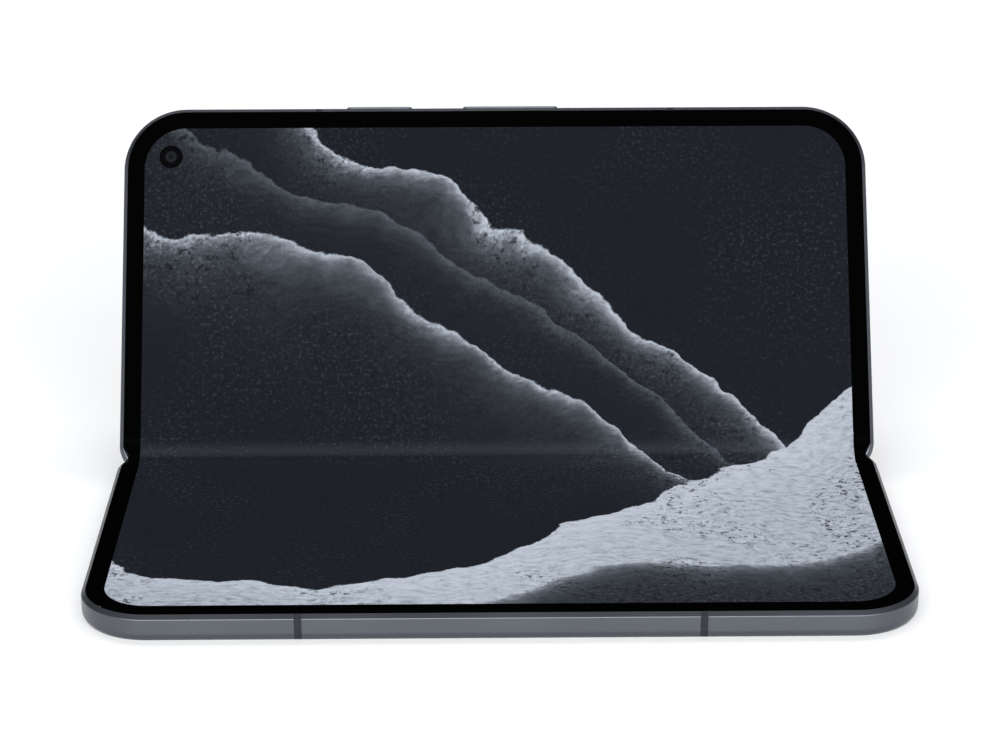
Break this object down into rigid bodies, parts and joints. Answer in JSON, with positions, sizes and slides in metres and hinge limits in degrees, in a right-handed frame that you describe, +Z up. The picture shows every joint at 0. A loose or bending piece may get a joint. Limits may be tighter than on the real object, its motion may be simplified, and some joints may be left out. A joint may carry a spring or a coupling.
{
  "type": "foldable smartphone",
  "caption": "Book-style folding phone with a flexible inner screen, a geared two-axis hinge, side keys and a card tray, standing half open on its lower half.",
  "frame": {"origin": "middle of the lower half's back face, which rests on the table", "axes": "+Z up; +X along the hinge, towards the charging socket's end; -Y towards the user, +Y towards the hinge and the leaning upper half"},
  "size_m": [0.1552, 0.1168, 0.0687],
  "materials": {
    "frame_metal": "satin anodised",
    "spine_metal": "satin anodised",
    "island_metal": "satin anodised",
    "key_metal": "satin anodised",
    "antenna_polymer": "matte",
    "cover_glass": "polished",
    "back_glass": "frosted",
    "screen": "glossy",
    "cover_panel": "glossy",
    "bezel": "satin",
    "support_plate": "woven carbon fibre",
    "battery": "foil pouch",
    "board": "solder mask",
    "flex": "polyimide",
    "copper": "bare copper wire",
    "module_black": "matte",
    "lens": "polished",
    "flash": "clear",
    "card_plastic": "matte",
    "sheet_steel": "rolled",
    "hinge_steel": "machined",
    "shaft_steel": "ground",
    "gear_brass": "cut",
    "screw_steel": "blackened",
    "cap_plastic": "matte"
  },
  "bodies": {
    "lower_half": {"lower_frame": "frame_metal", "lower_antenna_breaks": "antenna_polymer", "cover_glass": "cover_glass", "cover_display_panel": "cover_panel", "cover_camera": "module_black", "inner_display_lower": "screen", "lower_screen_bezel": "bezel", "lower_support_plate": "support_plate", "battery_lower": "battery", "lower_board": "board", "cover_earpiece": "module_black", "lower_speaker": "module_black", "haptic_motor": "sheet_steel", "card_reader": "sheet_steel", "lower_hinge_wings": "hinge_steel", "lower_hinge_shafts": "shaft_steel", "lower_timing_gears": "gear_brass", "lower_wing_screws": "screw_steel", "display_fold_lower": "screen", "hinge_flex_lower": "flex"},
    "sim_tray": {"sim_tray": "frame_metal", "sim_card": "card_plastic"},
    "hinge_spine": {"spine_cover": "spine_metal", "hinge_brackets": "hinge_steel", "friction_washers": "hinge_steel", "spine_screws": "screw_steel", "hinge_end_caps": "cap_plastic"},
    "idler_lower": {"idler_gears_lower": "gear_brass"},
    "idler_upper": {"idler_gears_upper": "gear_brass"},
    "upper_half": {"upper_frame": "frame_metal", "upper_antenna_breaks": "antenna_polymer", "back_glass": "back_glass", "inner_display_upper": "screen", "upper_screen_bezel": "bezel", "upper_support_plate": "support_plate", "battery_upper": "battery", "charging_coil": "copper", "main_board": "board", "board_shield": "sheet_steel", "processor": "module_black", "camera_island": "island_metal", "rear_cameras": "module_black", "camera_lens_covers": "lens", "flash_lamp": "flash", "inner_camera": "module_black", "inner_camera_window": "lens", "top_speaker": "module_black", "bottom_speaker": "module_black", "usb_c_port": "sheet_steel", "charging_board": "board", "key_switch_flex": "flex", "upper_hinge_wings": "hinge_steel", "upper_hinge_shafts": "shaft_steel", "upper_timing_gears": "gear_brass", "upper_wing_screws": "screw_steel", "display_fold_upper": "screen", "hinge_flex_upper": "flex"},
    "power_button": {"power_button": "key_metal"},
    "volume_rocker": {"volume_rocker": "key_metal"}
  },
  "joints": [
    {"name": "fold_lower", "type": "hinge", "parent": "lower_half", "child": "hinge_spine", "pos_m": [0, 0.0359, 0.00365], "axis": [1, 0, 0], "range_deg": [-29.5, 60.5], "deforming": ["display_fold_lower", "hinge_flex_lower"]},
    {"name": "fold_upper", "type": "hinge", "parent": "hinge_spine", "child": "upper_half", "pos_m": [0, 0.03877, 0.00527], "axis": [1, 0, 0], "range_deg": [-29.5, 60.5], "deforming": ["display_fold_upper", "hinge_flex_upper"]},
    {"name": "idler_lower_spin", "type": "hinge", "parent": "hinge_spine", "child": "idler_lower", "pos_m": [0, 0.03723, 0.00322], "axis": [1, 0, 0], "range_deg": [-29.5, 60.5]},
    {"name": "idler_upper_spin", "type": "hinge", "parent": "hinge_spine", "child": "idler_upper", "pos_m": [0, 0.03845, 0.00391], "axis": [1, 0, 0], "range_deg": [-60.5, 29.5]},
    {"name": "power_press", "type": "slide", "parent": "upper_half", "child": "power_button", "axis": [0, -0.515, -0.8572], "range_m": [0, 0.00025], "stiffness_N_per_m": 1200},
    {"name": "volume_rock", "type": "hinge", "parent": "upper_half", "child": "volume_rocker", "pos_m": [0.0032, 0.07623, 0.06548], "axis": [0, -0.8572, 0.515], "range_deg": [-0.8, 0.8], "stiffness_Nm_per_rad": 0.6},
    {"name": "tray_slide", "type": "slide", "parent": "lower_half", "child": "sim_tray", "axis": [1, 0, 0], "range_m": [0, 0.0165]}
  ],
  "couplings": [
    {"joint": "fold_upper", "follows": "fold_lower", "ratio": 1},
    {"joint": "idler_lower_spin", "follows": "fold_lower", "ratio": 1},
    {"joint": "idler_upper_spin", "follows": "fold_lower", "ratio": -1}
  ]
}
